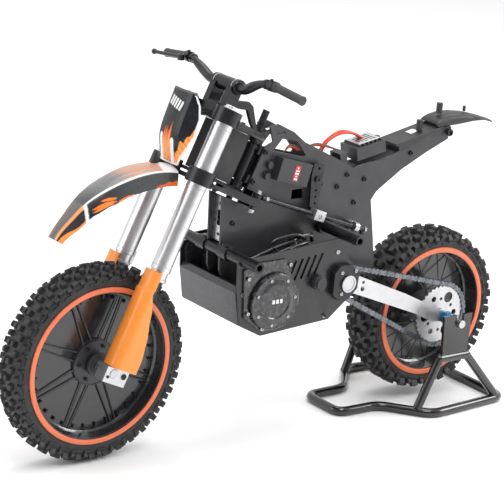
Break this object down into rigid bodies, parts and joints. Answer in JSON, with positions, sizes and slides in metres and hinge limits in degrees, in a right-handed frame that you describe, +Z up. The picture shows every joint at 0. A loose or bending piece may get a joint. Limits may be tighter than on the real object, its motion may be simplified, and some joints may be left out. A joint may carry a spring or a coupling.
{
  "type": "radio controlled motorcycle",
  "caption": "Radio controlled motocross bike chassis with steering fork, sprung swingarm, spoked knobby wheels and chain, standing on its paddock stand.",
  "frame": {"origin": "on the ground under the middle of the whole model's box", "axes": "+X forwards, +Y to the bike's left, +Z up"},
  "size_m": [0.5427, 0.1981, 0.3399],
  "materials": {
    "plate_black": "satin black anodised plate",
    "cover_black": "glossy black formed sheet",
    "tray_grey": "glossy smoked grey formed sheet",
    "case_dark": "glossy moulded case",
    "plastic_black": "black moulded plastic",
    "clamp_black": "semi-gloss black anodised",
    "silver": "polished aluminium",
    "steel": "bright machined steel",
    "steel_dark": "blackened steel",
    "motor_can": "satin can",
    "battery_wrap": "shrink-wrapped pack",
    "servo_case": "moulded servo case",
    "esc_case": "finned heat sink case",
    "wire_red": "red insulated wire",
    "cable_black": "black insulated cable",
    "guard_orange": "glossy orange moulded plastic",
    "fender_grey": "glossy black and grey with orange flames",
    "plate_dark": "glossy black with white and orange graphics",
    "grip_rubber": "ribbed rubber",
    "tyre": "knobby moulded rubber",
    "rim_black": "glossy black moulded rim",
    "spoke_black": "dark moulded spokes",
    "ring_orange": "copper orange trim ring",
    "chain_steel": "oiled steel chain",
    "nut_blue": "blue anodised",
    "stand_black": "glossy black powder coat"
  },
  "bodies": {
    "chassis": {"left_plate": "plate_black", "right_plate": "plate_black", "plate_spacers": "steel", "head_tube": "clamp_black", "frame_screws": "steel_dark", "belly_tray": "tray_grey", "left_cover": "cover_black", "right_cover": "cover_black", "crankcase_cover": "case_dark", "motor": "motor_can", "battery": "battery_wrap", "servo": "servo_case", "speed_controller": "esc_case", "tail_box": "plastic_black", "rear_fender": "plastic_black", "body_posts": "plastic_black", "front_pegs": "clamp_black", "rear_pegs": "clamp_black", "pivot_blocks": "clamp_black", "chain_roller": "plastic_black", "cable_bundle": "cable_black", "servo_lead": "wire_red", "rod_guide": "steel", "shock_body": "steel_dark"},
    "yoke": {"upper_clamp": "clamp_black", "lower_clamp": "clamp_black", "stem": "steel_dark", "yoke_block": "plastic_black", "fork_tubes": "silver", "bar_mount": "clamp_black", "handlebar": "clamp_black", "grips": "grip_rubber", "number_plate": "plate_dark", "front_fender": "fender_grey"},
    "brake_lever": {"brake_lever": "clamp_black"},
    "fork_lower": {"fork_rods": "steel_dark", "fork_guards": "guard_orange", "axle_blocks": "silver", "front_axle": "steel"},
    "front_wheel": {"front_tyre": "tyre", "front_rim": "rim_black", "front_spokes": "spoke_black", "front_rings": "ring_orange"},
    "servo_arm": {"servo_arm": "steel_dark"},
    "push_rod": {"push_rod": "steel_dark"},
    "swingarm": {"swingarm": "silver", "pivot_shaft": "steel", "chain": "chain_steel", "rear_axle": "steel", "axle_nuts": "nut_blue"},
    "rear_wheel": {"rear_tyre": "tyre", "rear_rim": "rim_black", "rear_spokes": "spoke_black", "rear_rings": "ring_orange", "rear_sprocket": "silver"},
    "drive": {"drive_sprocket": "steel_dark"},
    "shock_shaft": {"shock_shaft": "steel"},
    "stand": {"stand": "stand_black", "stand_uprights": "stand_black"}
  },
  "joints": [
    {"name": "steering", "type": "hinge", "parent": "chassis", "child": "yoke", "pos_m": [0.037, 0, 0.25], "axis": [-0.4067, 0, 0.9135], "range_deg": [-20, 20]},
    {"name": "brake_lever_pull", "type": "hinge", "parent": "yoke", "child": "brake_lever", "pos_m": [0.069, -0.0605, 0.334], "axis": [0, 0, -1], "range_deg": [0, 10], "stiffness_Nm_per_rad": 0.05, "springref_deg": -17.19},
    {"name": "fork_travel", "type": "slide", "parent": "yoke", "child": "fork_lower", "axis": [-0.4067, 0, 0.9135], "range_m": [0, 0.028], "stiffness_N_per_m": 600, "springref_m": -0.03},
    {"name": "front_wheel_spin", "type": "hinge", "parent": "fork_lower", "child": "front_wheel", "pos_m": [0.183, 0, 0.0883], "axis": [0, 1, 0], "continuous": true},
    {"name": "servo_turn", "type": "hinge", "parent": "chassis", "child": "servo_arm", "pos_m": [-0.035, 0.014, 0.233], "axis": [0, 1, 0], "range_deg": [-17, 17]},
    {"name": "push_rod_slide", "type": "slide", "parent": "chassis", "child": "push_rod", "axis": [0.945, 0, 0.327], "range_m": [-0.008, 0.008]},
    {"name": "swingarm_pivot", "type": "hinge", "parent": "chassis", "child": "swingarm", "pos_m": [-0.054, 0, 0.143], "axis": [0, 1, 0], "range_deg": [0, 10], "stiffness_Nm_per_rad": 20, "springref_deg": -11.46},
    {"name": "rear_wheel_spin", "type": "hinge", "parent": "swingarm", "child": "rear_wheel", "pos_m": [-0.192, 0, 0.088], "axis": [0, 1, 0], "continuous": true},
    {"name": "drive_spin", "type": "hinge", "parent": "chassis", "child": "drive", "pos_m": [-0.054, 0, 0.143], "axis": [0, 1, 0], "continuous": true},
    {"name": "shock_shaft_turn", "type": "hinge", "parent": "swingarm", "child": "shock_shaft", "pos_m": [-0.077, 0, 0.15], "axis": [0, 1, 0], "range_deg": [-10, 0]},
    {"name": "stand_lift_off", "type": "slide", "parent": "swingarm", "child": "stand", "axis": [0, 0, -1], "range_m": [0, 0.03]}
  ],
  "couplings": [
    {"joint": "servo_turn", "follows": "steering", "ratio": 0.786},
    {"joint": "push_rod_slide", "follows": "steering", "m_per_rad": -0.022},
    {"joint": "drive_spin", "follows": "rear_wheel_spin", "ratio": 2.7692},
    {"joint": "shock_shaft_turn", "follows": "swingarm_pivot", "ratio": -1}
  ]
}
